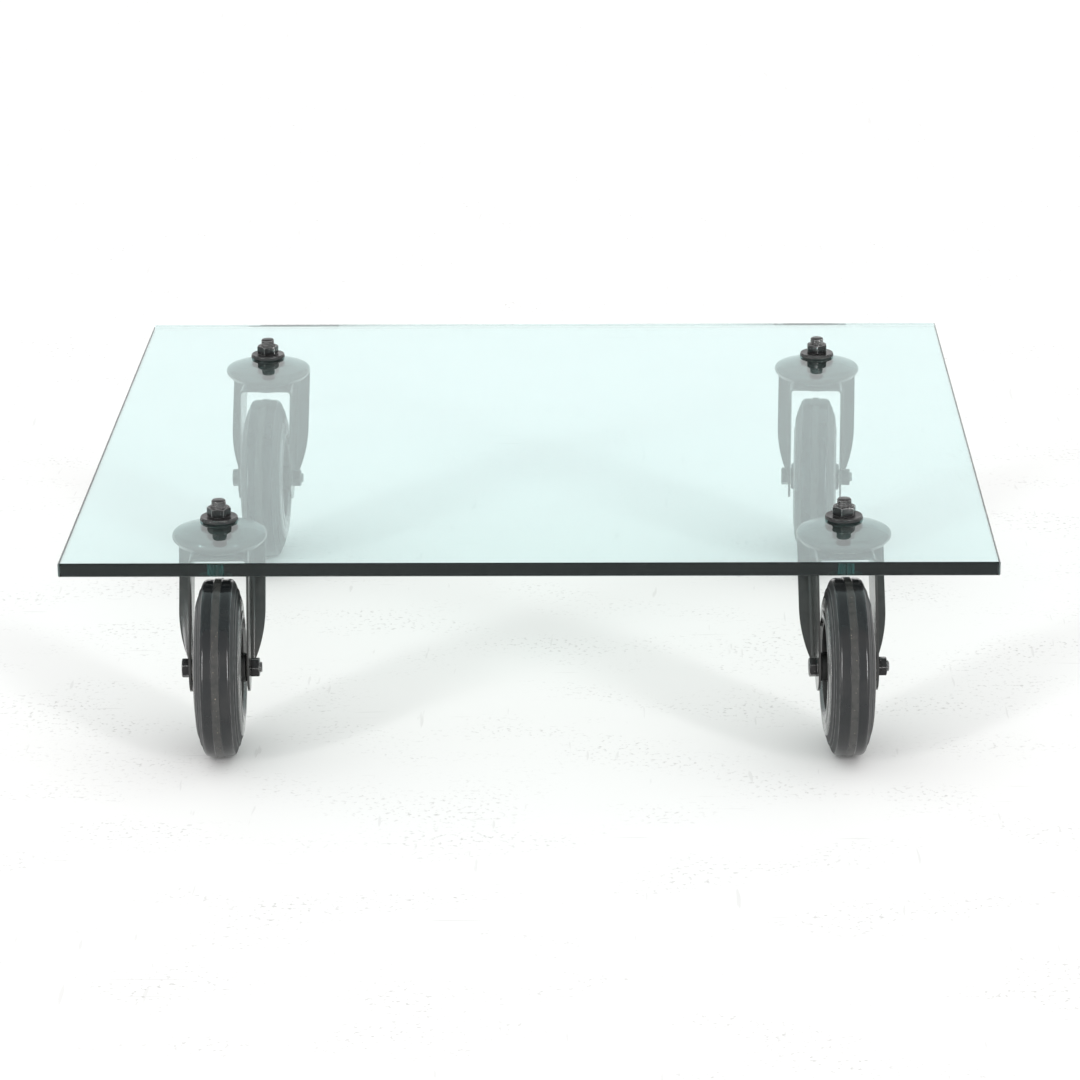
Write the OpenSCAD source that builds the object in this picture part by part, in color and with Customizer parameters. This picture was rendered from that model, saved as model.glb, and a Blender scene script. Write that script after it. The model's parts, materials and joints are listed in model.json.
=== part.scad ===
// Low square coffee table: one clear glass slab on four large swivel casters.
// Millimetres, +Z up. The origin is on the floor under the middle of the glass,
// and the front of the table faces -Y.

/* [Glass top] */
// Width of the glass from side to side
top_width = 1000; // [860:10:1400]
// Depth of the glass from front to back
top_depth = 1000; // [860:10:1400]
// Thickness of the glass
glass_t = 15; // [10:1:19]
// Flat ground along every edge of the glass
arris = 1; // [0.5:0.25:2]
// Flat ground at the four upright corners of the glass
corner_cut = 2; // [1:0.5:10]
// Distance from two edges of the glass to the middle of each hole
hole_inset = 158; // [130:1:220]
// Diameter of the holes in the glass
glass_hole_d = 18; // [17.8:0.2:24]

/* [Fixings through the glass] */
// Diameter of the bolt that holds a caster
bolt_d = 16; // [14:0.5:16.5]
// Length of bolt that stands above its nut
bolt_end = 8; // [3:0.5:15]
// Width across the flats of the nut above the glass
nut_flats = 23; // [20:0.5:27]
// Height of the nut above the glass
nut_h = 10.4; // [8:0.2:14]
// Turn of the nut above each caster, front left, front right, rear left, rear right
nut_turn = [-1.4, 16.6, 14, 31];
// Diameter of the steel washer
washer_d = 41; // [34:0.5:50]
// Thickness of the steel washer
washer_t = 2; // [1.5:0.1:3.5]
// Diameter of the gasket on the glass
gasket_d = 42; // [34:0.5:50]
// Thickness of the gasket on the glass
gasket_t = 2.2; // [1.5:0.1:4]
// Diameter of the bush's flange under the glass
bush_flange_d = 36; // [26:1:44]
// Thickness of the bush's flange
bush_flange_t = 1; // [0.6:0.1:2]

/* [Swivel head] */
// Diameter of the cap at its widest
cap_d = 104; // [96:1:112]
// Diameter of the cap at its lower rim
cap_rim_d = 94; // [90:1:95]
// Height of the cap from its rim to its flat top
cap_h = 21; // [17:0.5:26]
// Height of the cap's widest ring above its rim
cap_wide_h = 8.2; // [6.5:0.1:9]
// Radius of the cap's shoulder
cap_shoulder_r = 6; // [4:0.5:6.5]
// Diameter of the flat on top of the cap
cap_flat_d = 36; // [26:1:44]
// Diameter of the cap's hub, on which the fork turns
hub_d = 23.6; // [22:0.2:25]
// Diameter of the race plate on the fork
race_d = 56; // [55:0.5:60]
// Thickness of the race plate
race_t = 3; // [2.6:0.1:4]
// Gap between the race plate and the cap
race_gap = 3.5; // [2.5:0.1:4.5]
// Diameter of the circle of the upper balls
upper_pitch_d = 46; // [44:0.5:47]
// Diameter of an upper ball
upper_ball_d = 6.4; // [5.8:0.1:6.6]
// Number of upper balls
upper_balls = 18; // [12:1:19]
// Diameter of the circle of the lower balls
lower_pitch_d = 35; // [34:0.5:36]
// Diameter of a lower ball
lower_ball_d = 4.6; // [4:0.1:4.8]
// Number of lower balls
lower_balls = 16; // [8:1:20]
// Diameter of the retaining ring
ring_d = 45; // [43:0.5:48]
// Thickness of the retaining ring
ring_t = 6; // [5.6:0.1:7]
// Width across the flats of the mounting bolt's head
bolt_head_flats = 22; // [20:0.5:24]
// Height of the mounting bolt's head
bolt_head_h = 6; // [5:0.5:9]
// Depth to which that head is sunk into the retaining ring
bolt_head_sunk = 3.2; // [1:0.2:3.4]

/* [Fork] */
// Distance from the swivel axis forward to the wheel's axle
trail = 57; // [50:1:70]
// Thickness of the pressed sheet
sheet_t = 2.5; // [2:0.1:3.5]
// Width of the fork between its legs
fork_gap = 60.6; // [60.2:0.2:68]
// Length of the bridge from front to back
bridge_l = 86; // [80:1:90]
// Radius inside the bends between bridge and legs
bridge_bend_r = 4; // [2:0.5:6]
// Room between the tyre and the underside of the bridge
tyre_room = 8; // [6:0.5:20]
// Radius of the legs' lower ends, round the axle
leg_end_r = 26; // [20:0.5:30]
// Overall width of the fork over its flanges
flange_width = 95.4; // [84:0.2:104]
// Radius inside the bend between leg and flange
flange_bend_r = 4; // [2:0.5:5]
// Height of the flange's full width above the axle
flange_full_h = 47; // [35:1:60]
// Radius of the curve that narrows the flange towards the axle
flange_curve_r = 119; // [100:1:140]
// Height of the flange's lower end below the axle
flange_foot = 4; // [0:0.5:8]
// Turn of each caster at rest, front left, front right, rear left, rear right
caster_turn = [1.8, 2.4, -1.2, -3.1];

/* [Axle] */
// Diameter of the axle bolt
axle_d = 12; // [10:0.5:13]
// Width across the flats of the axle's head and nut
axle_flats = 19; // [17:0.5:22]
// Height of the axle's head
axle_head_h = 8.8; // [6:0.2:10]
// Height of the axle's nut
axle_nut_h = 10.4; // [8:0.2:12]
// Length of axle that stands out of its nut
axle_end = 2.6; // [1:0.2:6]
// Turn of the axle's nut
axle_nut_turn = 20; // [0:1:59]
// Outer diameter of the sleeve round the axle
sleeve_d = 20; // [17:0.5:22]

/* [Wheel] */
// Diameter of the wheel over the tyre's centre band
wheel_d = 196; // [190:1:204]
// Width of the tyre's centre band
band_w = 7.6; // [4:0.2:12]
// Height of the centre band above the tread
band_h = 1; // [0.5:0.1:2]
// Width of the tread, measured to where its rounded edges would meet the shoulders
tread_w = 31.6; // [24:0.2:34]
// Radius of the tread's rounded edges
tread_edge_r = 7; // [2:0.5:9]
// Width of the tyre where its shoulders end
shoulder_w = 47; // [42:0.5:48]
// Diameter of the tyre where its shoulders end
shoulder_d = 153; // [152:1:160]
// Outer diameter of the rim
rim_d = 150; // [140:1:151]
// Width of the rim at its outer edge
rim_edge_w = 49; // [48:0.5:50]
// Width of the rim at its widest
rim_w = 52; // [51:0.5:54]
// Diameter of the ridge that steps the rim's face
rim_ridge_d = 125; // [118:1:130]
// Diameter of the rim's opening
rim_bore_d = 104; // [98:1:108]
// Thickness of the rim's barrel, between its opening and the tyre's seat
rim_barrel_t = 5; // [4:0.5:6.5]
// Outer diameter of the wheel's hub
wheel_hub_d = 32; // [30:0.5:36]
// Length of the wheel's hub
wheel_hub_l = 59; // [55:0.5:60]
// Thickness of the wheel's disc
disc_t = 7; // [5:0.5:12]
// Wall of the bearing bushes
bearing_wall = 4; // [2.5:0.5:4.5]
// Length of each bearing bush
bearing_l = 18; // [10:1:26]

/* [Clearances] */
// Between a turning piece and what it turns on
run_gap = 0.05; // [0.02:0.01:0.08]
// Between pieces that are bolted or pressed together
seat_gap = 0.1; // [0.05:0.05:0.2]
// Between balls and the race that they roll past
ball_gap = 0.3; // [0.2:0.05:0.4]

/* [Hidden] */
$fn = 96;
far = 400;
eps = 0.01;

CORNERS = ["front_left", "front_right", "rear_left", "rear_right"];
HARDWARE = ["glass_bushes", "top_gaskets", "top_washers", "top_nuts"];
CASTER_PIECES = [
    "mounting_bolt", "swivel_cap", "swivel_balls", "retaining_ring", "race_plate", "fork",
    "axle_bolt", "axle_nut", "axle_sleeve", "wheel_bearings", "wheel_disc", "rim", "tyre"
];

// Places of the swivel axes, in the order of CORNERS
axis_x = top_width / 2 - hole_inset;
axis_y = top_depth / 2 - hole_inset;
AXES = [[-axis_x, -axis_y], [axis_x, -axis_y], [-axis_x, axis_y], [axis_x, axis_y]];

// Heights, from the floor up
axle_z = wheel_d / 2;
bridge_z = wheel_d + tyre_room;
race_z = bridge_z + sheet_t;
race_top_z = race_z + race_t;
cap_z = race_top_z + race_gap;
cap_top_z = cap_z + cap_h;
glass_z = cap_top_z + bush_flange_t;
glass_top_z = glass_z + glass_t;
washer_z = glass_top_z + gasket_t;
nut_z = washer_z + washer_t;
bolt_top_z = nut_z + nut_h + bolt_end;
ring_top_z = bridge_z - 0.4;
ring_z = ring_top_z - ring_t;
bolt_head_z = ring_z + bolt_head_sunk - bolt_head_h;

// Radii and half widths that several pieces share
bolt_r = bolt_d / 2;
shank_r = 0.92 * bolt_r;
bolt_head_r = bolt_head_flats / 2 / cos(30);
hub_r = hub_d / 2;
rim_chamfer = 1.5;
tyre_seat_r = rim_bore_d / 2 + rim_barrel_t;
leg_in = fork_gap / 2;
leg_out = leg_in + sheet_t;
bridge_y = bridge_l / 2;
upper_ball_z = (race_top_z + cap_z) / 2;
lower_ball_z = bridge_z - 1.2;
steel_black = [0.12, 0.12, 0.12];
paint_black = [0.16, 0.16, 0.15];
zinc = [0.72, 0.73, 0.71];

// Closed outline from one half of it: the same points again, mirrored, in reverse order
function both_halves(half) =
    concat(half, [for (i = [len(half) - 1:-1:0]) [half[i][0], -half[i][1]]]);

// Point where a line from p touches the circle with centre c and radius r.
// turn is 1 or -1, for the two lines that exist.
function touch(p, c, r, turn) =
    let (d = p - c, a = atan2(d[1], d[0]) + turn * acos(r / norm(d)))
    c + r * [cos(a), sin(a)];

// Regular hexagonal prism with its flats given, standing on z = 0, corners chamfered
// at the top, and at the bottom too when both is true
module hex_piece(flats, h, both) {
    corner_r = flats / 2 / cos(30);
    chamfer = (corner_r - flats / 2) * tan(30);
    intersection() {
        cylinder(h = h, r = corner_r, $fn = 6);
        rotate_extrude() {
            polygon([
                [0, 0],
                [both ? flats / 2 : corner_r, 0],
                [corner_r, both ? chamfer : 0],
                [corner_r, h - chamfer],
                [flats / 2, h],
                [0, h]
            ]);
        }
    }
}

// Plain bar of radius r with a small chamfer at its upper end
module chamfered_bar(r, h, chamfer) {
    rotate_extrude() {
        polygon([[0, 0], [r, 0], [r, h - chamfer], [r - chamfer, h], [0, h]]);
    }
}

// Ring with the given bore, standing on z = 0
module ring(r_out, r_in, h) {
    difference() {
        cylinder(h = h, r = r_out);
        translate([0, 0, -1]) cylinder(h = h + 2, r = r_in);
    }
}

// Groove for balls of radius r, on a circle of radius pitch_r
module ball_groove(pitch_r, r) {
    rotate_extrude() {
        translate([pitch_r, 0]) circle(r);
    }
}

// Puts its children at one caster, turned as that caster stands at rest
module at_caster(i) {
    translate([AXES[i][0], AXES[i][1], 0]) rotate([0, 0, caster_turn[i]]) children();
}

// Turns its children's Z axis into the wheel's axle, in a caster's own frame
module on_axle() {
    translate([0, -trail, axle_z]) rotate([0, 90, 0]) children();
}

// Draws a front view, X across and Z up, right through the caster
module seen_from_front() {
    translate([0, far / 2, 0]) rotate([90, 0, 0]) linear_extrude(far) children();
}

// Draws a side view, Y across and Z up, right through the caster
module seen_from_side() {
    translate([-far / 2, 0, 0]) rotate([90, 0, 90]) linear_extrude(far) children();
}

// Glass slab: square plan, every edge with its arris, one hole for each caster
module slab_outline(w, h, cut) {
    polygon([
        [-w / 2 + cut, 0], [w / 2 - cut, 0], [w / 2, cut], [w / 2, h - cut],
        [w / 2 - cut, h], [-w / 2 + cut, h], [-w / 2, h - cut], [-w / 2, cut]
    ]);
}

module glass_top() {
    color([0.8, 0.95, 0.9, 0.35])
    difference() {
        intersection() {
            translate([0, top_depth / 2, glass_z]) rotate([90, 0, 0])
                linear_extrude(top_depth) slab_outline(top_width, glass_t, arris);
            translate([-top_width / 2, 0, glass_z]) rotate([90, 0, 90])
                linear_extrude(top_width) slab_outline(top_depth, glass_t, arris);
            translate([0, -top_depth / 2, glass_z])
                linear_extrude(glass_t) slab_outline(top_width, top_depth, corner_cut);
        }
        for (a = AXES) {
            translate([a[0], a[1], glass_z - 1]) cylinder(h = glass_t + 2, d = glass_hole_d);
        }
    }
}

// Bush that lines one hole of the glass, with a flange between the glass and the cap
module glass_bush() {
    sleeve_r = glass_hole_d / 2 - seat_gap;
    color([0.2, 0.2, 0.2])
    difference() {
        union() {
            translate([0, 0, cap_top_z]) cylinder(h = bush_flange_t, d = bush_flange_d);
            translate([0, 0, cap_top_z]) cylinder(h = bush_flange_t + glass_t, r = sleeve_r);
        }
        translate([0, 0, cap_top_z - 1])
            cylinder(h = glass_t + bush_flange_t + 2, r = bolt_r + seat_gap);
    }
}

// Gasket on the glass, with a rounded rim
module top_gasket() {
    edge_r = gasket_t / 2;
    color([0.13, 0.12, 0.13])
    translate([0, 0, glass_top_z])
    difference() {
        rotate_extrude() {
            square([gasket_d / 2 - edge_r, gasket_t]);
            translate([gasket_d / 2 - edge_r, edge_r]) circle(edge_r, $fn = 32);
        }
        translate([0, 0, -1]) cylinder(h = gasket_t + 2, r = bolt_r + seat_gap);
    }
}

// Steel washer, its upper rim rounded
module top_washer() {
    edge_r = washer_t / 2;
    color(steel_black)
    translate([0, 0, washer_z])
    difference() {
        rotate_extrude() {
            square([washer_d / 2 - edge_r, washer_t]);
            square([washer_d / 2, washer_t - edge_r]);
            translate([washer_d / 2 - edge_r, washer_t - edge_r]) circle(edge_r, $fn = 32);
        }
        translate([0, 0, -1]) cylinder(h = washer_t + 2, r = bolt_r + 2 * seat_gap);
    }
}

// Nut, its bore as wide as the middle of the thread and countersunk at both ends
module top_nut(i) {
    bore_r = shank_r + seat_gap;
    mouth_r = bolt_r + 1.3;
    sink = mouth_r - bore_r;
    color(steel_black)
    translate([0, 0, nut_z]) rotate([0, 0, nut_turn[i]])
    difference() {
        hex_piece(nut_flats, nut_h, true);
        rotate_extrude() {
            polygon([
                [0, -1], [mouth_r + 1, -1], [bore_r, sink], [bore_r, nut_h - sink],
                [mouth_r + 1, nut_h + 1], [0, nut_h + 1]
            ]);
        }
    }
}

// Bolt that carries the whole caster: its head is sunk into the retaining ring. The end
// above the nut has the thread's full diameter, and the shank below it is as thick as the
// middle of the thread, as on a bolt with a rolled thread.
module mounting_bolt() {
    color(steel_black)
    translate([0, 0, bolt_head_z])
    union() {
        translate([0, 0, bolt_head_h]) mirror([0, 0, 1])
            hex_piece(bolt_head_flats, bolt_head_h, false);
        cylinder(h = bolt_top_z - bolt_end - bolt_head_z, r = shank_r);
        translate([0, 0, bolt_top_z - bolt_end - bolt_head_z])
            chamfered_bar(bolt_r, bolt_end, 1.2);
    }
}

// Cap of the swivel head: domed top, rounded shoulder, rim drawn in below and hollow inside,
// a race for the upper balls and a hub that reaches through the fork to the retaining ring
module cap_section() {
    shoulder = [cap_d / 2 - cap_shoulder_r, cap_z + cap_wide_h];
    rim = [cap_rim_d / 2, cap_z];
    flat = [cap_flat_d / 2, cap_top_z];
    rise = cap_h - cap_wide_h;
    wall = 3;
    // The dome's arc passes through the flat's edge and touches the shoulder's circle
    k = (flat[0] ^ 2 + rise ^ 2 - shoulder[0] ^ 2 + cap_shoulder_r ^ 2) / (2 * cap_shoulder_r);
    m = rise / cap_shoulder_r;
    n = k - cap_shoulder_r;
    drop = (-m * n + sqrt(m ^ 2 * n ^ 2 - (m ^ 2 - 1) * (n ^ 2 - shoulder[0] ^ 2))) / (m ^ 2 - 1);
    dome_r = m * drop + k;
    join = [shoulder[0] * dome_r / (dome_r - cap_shoulder_r), shoulder[1]];
    difference() {
        union() {
            intersection() {
                translate([0, shoulder[1] - drop]) circle(dome_r, $fn = 360);
                translate([0, shoulder[1]]) square([join[0], rise]);
            }
            translate(shoulder) circle(cap_shoulder_r);
            polygon([
                [0, cap_z], rim, touch(rim, shoulder, cap_shoulder_r, 1), shoulder,
                [0, shoulder[1] + 1]
            ]);
        }
        translate([-far, -far]) square([far, 2 * far]);
        translate([upper_pitch_d / 2, upper_ball_z]) circle(upper_ball_d / 2 + ball_gap);
        polygon([
            [race_d / 2 + 1, cap_z - 1], [race_d / 2 + 1, shoulder[1] + rise - 2 * wall],
            [shoulder[0] - wall, shoulder[1]], [rim[0] - wall, cap_z + wall],
            [rim[0] - wall, cap_z - 1]
        ]);
    }
}

module swivel_cap() {
    color(paint_black)
    difference() {
        union() {
            rotate_extrude() cap_section();
            translate([0, 0, ring_top_z]) cylinder(h = cap_z + 1 - ring_top_z, r = hub_r);
            translate([0, 0, cap_z]) cylinder(h = cap_h, r = hub_r);
        }
        translate([0, 0, ring_top_z - 1])
            cylinder(h = cap_top_z - ring_top_z + 2, r = bolt_r + seat_gap);
    }
}

// Upper and lower rows of balls; the lower row carries the fork when the table is lifted
module swivel_balls() {
    color(zinc) {
        for (a = [0:upper_balls - 1]) {
            rotate([0, 0, a * 360 / upper_balls])
                translate([upper_pitch_d / 2, 0, upper_ball_z]) sphere(d = upper_ball_d, $fn = 32);
        }
        for (a = [0:lower_balls - 1]) {
            rotate([0, 0, a * 360 / lower_balls])
                translate([lower_pitch_d / 2, 0, lower_ball_z]) sphere(d = lower_ball_d, $fn = 32);
        }
    }
}

module retaining_ring() {
    color(steel_black)
    difference() {
        translate([0, 0, ring_z]) ring(ring_d / 2, bolt_r + seat_gap, ring_t);
        translate([0, 0, ring_z - 1]) cylinder(h = bolt_head_sunk + 1, r = bolt_head_r + seat_gap);
        translate([0, 0, lower_ball_z])
            ball_groove(lower_pitch_d / 2, lower_ball_d / 2 + ball_gap);
    }
}

module race_plate() {
    color(steel_black)
    difference() {
        translate([0, 0, race_z]) ring(race_d / 2, hub_r + run_gap, race_t);
        translate([0, 0, upper_ball_z])
            ball_groove(upper_pitch_d / 2, upper_ball_d / 2 + run_gap);
    }
}

// Fork, pressed from sheet: a bridge with two legs, and a flange bent outwards along the
// rear edge of each leg, which narrows to nothing at the axle
leg_end = [-trail, axle_z];
bridge_rear = [bridge_y - flange_bend_r - sheet_t, bridge_z];
rear_touch = touch(bridge_rear, leg_end, leg_end_r, -1);
rear_line = bridge_rear - rear_touch;
rear_tilt = atan2(rear_line[0], rear_line[1]);

// Side view of bridge and legs: bridge on top, tapering to the round ends at the axle
module leg_outline() {
    front = [-bridge_y, bridge_z];
    polygon([
        [-bridge_y, race_z], front, touch(front, leg_end, leg_end_r, 1), leg_end,
        rear_touch, bridge_rear, [bridge_rear[0], race_z]
    ]);
    translate(leg_end) circle(leg_end_r);
    translate([0, bridge_z]) square([bridge_y, sheet_t]);
}

// Front view of the bent sheet: an upside-down U with round corners
module sheet_bend() {
    outer_r = bridge_bend_r + sheet_t;
    difference() {
        union() {
            translate([-leg_out, 0]) square([2 * leg_out, race_z - outer_r]);
            translate([-leg_out + outer_r, 0]) square([2 * (leg_out - outer_r), race_z]);
            for (s = [-1, 1]) {
                translate([s * (leg_out - outer_r), race_z - outer_r]) circle(outer_r);
            }
        }
        translate([-leg_in, -1]) square([2 * leg_in, bridge_z - bridge_bend_r + 1]);
        translate([-leg_in + bridge_bend_r, -1])
            square([2 * (leg_in - bridge_bend_r), bridge_z + 1]);
        for (s = [-1, 1]) {
            translate([s * (leg_in - bridge_bend_r), bridge_z - bridge_bend_r])
                circle(bridge_bend_r);
        }
    }
}

// Runs a section along the rear edge of a leg, from below the axle up past the bridge
module along_rear_edge() {
    translate([0, rear_touch[0], rear_touch[1]]) rotate([-rear_tilt, 0, 0])
        translate([0, 0, -leg_end_r]) linear_extrude(far) children();
}

// Flange on the right leg: a quarter bend at the leg's rear edge, then flat sheet that has
// its full width above and is cut along a curve in to the leg
module flange() {
    bend_x = leg_out + flange_bend_r;
    half_w = flange_width / 2;
    full_z = axle_z + flange_full_h;
    foot_z = axle_z - flange_foot;
    intersection() {
        along_rear_edge() intersection() {
            translate([bend_x, 0]) difference() {
                circle(flange_bend_r + sheet_t);
                circle(flange_bend_r);
            }
            translate([leg_in - 1, 0]) square([bend_x - leg_in + 1 + eps, far]);
        }
        seen_from_front() translate([0, foot_z]) square([half_w, race_z - foot_z]);
    }
    intersection() {
        along_rear_edge()
            translate([bend_x, flange_bend_r]) square([half_w - bend_x + 5, sheet_t]);
        union() {
            seen_from_front() translate([half_w - flange_curve_r, full_z])
                circle(flange_curve_r);
            seen_from_front() translate([0, full_z]) square([half_w, race_z - full_z]);
        }
    }
}

module fork() {
    color(paint_black)
    difference() {
        union() {
            intersection() {
                seen_from_front() sheet_bend();
                seen_from_side() leg_outline();
            }
            flange();
            mirror([1, 0, 0]) flange();
        }
        translate([0, 0, bridge_z - 1]) cylinder(h = sheet_t + 2, r = hub_r + run_gap);
        translate([0, 0, lower_ball_z])
            ball_groove(lower_pitch_d / 2, lower_ball_d / 2 + run_gap);
        on_axle() translate([0, 0, -far / 2]) cylinder(h = far, r = axle_d / 2 + run_gap);
    }
}

module axle_bolt() {
    shank_l = axle_head_h + 2 * leg_out + axle_nut_h + axle_end;
    color(steel_black)
    on_axle() translate([0, 0, -leg_out - axle_head_h])
    union() {
        translate([0, 0, axle_head_h]) mirror([0, 0, 1])
            hex_piece(axle_flats, axle_head_h, false);
        chamfered_bar(axle_d / 2, shank_l, 1);
    }
}

module axle_nut() {
    color(steel_black)
    on_axle() translate([0, 0, leg_out]) rotate([0, 0, axle_nut_turn])
    difference() {
        hex_piece(axle_flats, axle_nut_h, true);
        translate([0, 0, -1]) cylinder(h = axle_nut_h + 2, r = axle_d / 2 + run_gap);
    }
}

module axle_sleeve() {
    color(zinc)
    on_axle() translate([0, 0, -leg_in]) ring(sleeve_d / 2, axle_d / 2 + run_gap, fork_gap);
}

// Two bushes, one flush with each end of the hub
module wheel_bearings() {
    bush_r = sleeve_d / 2 + bearing_wall;
    color([0.6, 0.5, 0.25])
    for (s = [-1, 1]) {
        on_axle() translate([0, 0, s * (wheel_hub_l - bearing_l) / 2 - bearing_l / 2])
            ring(bush_r, sleeve_d / 2 + run_gap, bearing_l);
    }
}

// Disc and hub of the wheel, bored for the bushes; its outer wall lines the rim
module wheel_disc() {
    rim_r = rim_bore_d / 2;
    lining = rim_w / 2 - 2 * rim_chamfer;
    hub_out = wheel_hub_d / 2;
    half_l = wheel_hub_l / 2;
    half_t = disc_t / 2;
    edge = 1.5;
    flare = 6;
    color(paint_black)
    on_axle() difference() {
        rotate_extrude() polygon(both_halves([
            [rim_r - seat_gap, lining], [rim_r - sheet_t, lining],
            [rim_r - sheet_t, half_t + flare], [rim_r - sheet_t - flare, half_t],
            [hub_out + flare, half_t],
            [hub_out, half_t + flare], [hub_out, half_l - edge],
            [hub_out - edge, half_l], [0, half_l]
        ]));
        translate([0, 0, -far / 2])
            cylinder(h = far, r = sleeve_d / 2 + bearing_wall + run_gap);
    }
}

// Rim: a barrel under the tyre, with a stepped ring on each face
module rim() {
    bore_r = rim_bore_d / 2;
    seat_r = tyre_seat_r - seat_gap;
    ridge_r = rim_ridge_d / 2;
    edge_r = rim_d / 2;
    face = rim_w / 2;
    step = 0.8;
    edge_z = rim_edge_w / 2;
    color(zinc)
    on_axle() rotate_extrude() polygon(both_halves([
        [seat_r, edge_z - 2 * rim_chamfer], [edge_r, edge_z - 2 * rim_chamfer],
        [edge_r, edge_z - rim_chamfer], [edge_r - rim_chamfer, edge_z],
        [ridge_r + step, face - step], [ridge_r, face - 2 * step], [ridge_r - step, face],
        [bore_r + 2 * rim_chamfer, face], [bore_r, face - 2 * rim_chamfer]
    ]));
}

// Tyre: raised centre band, tread rounded into sloping shoulders, a moulded ridge on each side
module tyre() {
    wheel_r = wheel_d / 2;
    tread_r = wheel_r - band_h;
    side = rim_edge_w / 2 - 3 - seat_gap;
    bead_r = rim_d / 2 + seat_gap;
    ridge = 0.6;
    slope = [shoulder_d / 2 - tread_r, (shoulder_w - tread_w) / 2];
    // The tread's rounded edge, in fine steps from the shoulder to the tread
    turn = 90 - atan2(slope[1], -slope[0]);
    steps = 8;
    centre = [tread_r - tread_edge_r, tread_w / 2 - tread_edge_r * tan(turn / 2)];
    rounded_edge = [
        for (i = [steps:-1:0])
        centre + tread_edge_r * [cos(turn * i / steps), sin(turn * i / steps)]
    ];
    // Point at the share t of the way down the shoulder, lifted off it
    function along(t, lift) =
        [tread_r, tread_w / 2] + t * slope + lift * [slope[1], -slope[0]] / norm(slope);
    color([0.17, 0.17, 0.17])
    on_axle() rotate_extrude() polygon(both_halves(concat(
        [
            [tyre_seat_r, side], [bead_r, side], [bead_r, shoulder_w / 2],
            along(1, 0), along(0.62, 0), along(0.58, ridge), along(0.54, ridge), along(0.5, 0)
        ],
        rounded_edge,
        [[tread_r, band_w / 2 + band_h], [wheel_r, band_w / 2]]
    )));
}

glass_top();
for (i = [0:3]) {
    at_caster(i) glass_bush();  // glass_bushes
    at_caster(i) top_gasket();  // top_gaskets
    at_caster(i) top_washer();  // top_washers
    translate([AXES[i][0], AXES[i][1], 0]) top_nut(i);  // top_nuts
    at_caster(i) mounting_bolt();
    at_caster(i) swivel_cap();
    at_caster(i) swivel_balls();
    at_caster(i) retaining_ring();
    at_caster(i) race_plate();
    at_caster(i) fork();
    at_caster(i) axle_bolt();
    at_caster(i) axle_nut();
    at_caster(i) axle_sleeve();
    at_caster(i) wheel_bearings();
    at_caster(i) wheel_disc();
    at_caster(i) rim();
    at_caster(i) tyre();
}
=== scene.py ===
"""Looks of a low square glass table that stands on four large swivel casters.

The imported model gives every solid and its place. This script models the pieces whose finish
the solids can't show (threads, rounded sheet edges, tyre profile), gives every piece its
material, and sets up a plain pale studio. Meshes are in metres, and the sizes in the classes
are in mm. +Z is up, and the front of the table faces -Y.
"""

import json
import logging
import math
from contextlib import contextmanager
from dataclasses import dataclass, field
from enum import Enum
from typing import Callable, Iterable, Iterator, Optional, Sequence, Union

import bpy
from mathutils import Matrix, Vector


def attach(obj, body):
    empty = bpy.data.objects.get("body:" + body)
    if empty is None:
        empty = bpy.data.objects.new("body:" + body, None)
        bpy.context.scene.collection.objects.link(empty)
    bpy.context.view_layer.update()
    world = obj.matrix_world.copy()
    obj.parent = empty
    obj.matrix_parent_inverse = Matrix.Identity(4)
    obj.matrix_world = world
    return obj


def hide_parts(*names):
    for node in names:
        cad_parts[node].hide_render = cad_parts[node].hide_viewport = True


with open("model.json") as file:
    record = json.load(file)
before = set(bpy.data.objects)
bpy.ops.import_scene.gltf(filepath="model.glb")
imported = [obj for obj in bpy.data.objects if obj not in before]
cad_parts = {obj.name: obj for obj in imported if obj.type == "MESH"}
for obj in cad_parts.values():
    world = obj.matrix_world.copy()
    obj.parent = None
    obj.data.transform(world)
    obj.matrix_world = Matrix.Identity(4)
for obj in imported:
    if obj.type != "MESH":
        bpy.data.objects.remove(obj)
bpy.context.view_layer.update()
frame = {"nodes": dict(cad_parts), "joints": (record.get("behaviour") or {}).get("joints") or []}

Point = tuple[float, float]
RoundedPoint = tuple[float, float, float]
Colour = tuple[float, float, float]
Feed = Union[float, bpy.types.NodeSocket]
Sockets = dict[str, Feed]

# One millimetre, and the distance under which two points are one, in metres.
MM = 0.001
SAME_POINT = 1e-6
# In degrees: faces that meet at less than the first are one face, and an edge sharper than the
# second is rounded, in so many steps.
FLAT_ANGLE, SHARP_ANGLE, EDGE_STEPS = 0.6, 36.0, 2
# In degrees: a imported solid's copy and a thread are shaded smooth over edges up to these.
SOLID_SMOOTH, THREAD_SMOOTH = 40.0, 50.0
# The largest share of an outline's edge that one rounded corner takes.
CORNER_SHARE = 0.48
# A thread's points round it, its rows to each turn, and its depth as a share of the pitch.
THREAD_COLUMNS, THREAD_ROWS, THREAD_DEPTH = 48, 8, 0.42
# A thread's groove: how far past full depth it would go, and how steeply its sides rise.
GROOVE_REACH, GROOVE_SLOPE = 1.15, 1.6
# Height of the grain on metal and rubber, and the colour of dust that lies on metal.
GRAIN_DEPTH = 0.2 * MM
DUST: Colour = (0.42, 0.41, 0.39)

log = logging.getLogger("caster_table")


class Corner(Enum):
    """The four corners of the table, by the prefix of their nodes and joints."""

    FRONT_LEFT = "front_left"
    FRONT_RIGHT = "front_right"
    REAR_LEFT = "rear_left"
    REAR_RIGHT = "rear_right"


class Carrier(Enum):
    """What a piece rides on: the fixed table, a caster's fork or its wheel."""

    TABLE = "table"
    CASTER = "caster"
    WHEEL = "wheel"

    def body(self, corner: Corner) -> str:
        """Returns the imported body's name at one corner."""
        return self.value if self is Carrier.TABLE else f"{corner.value}_{self.value}"


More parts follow.
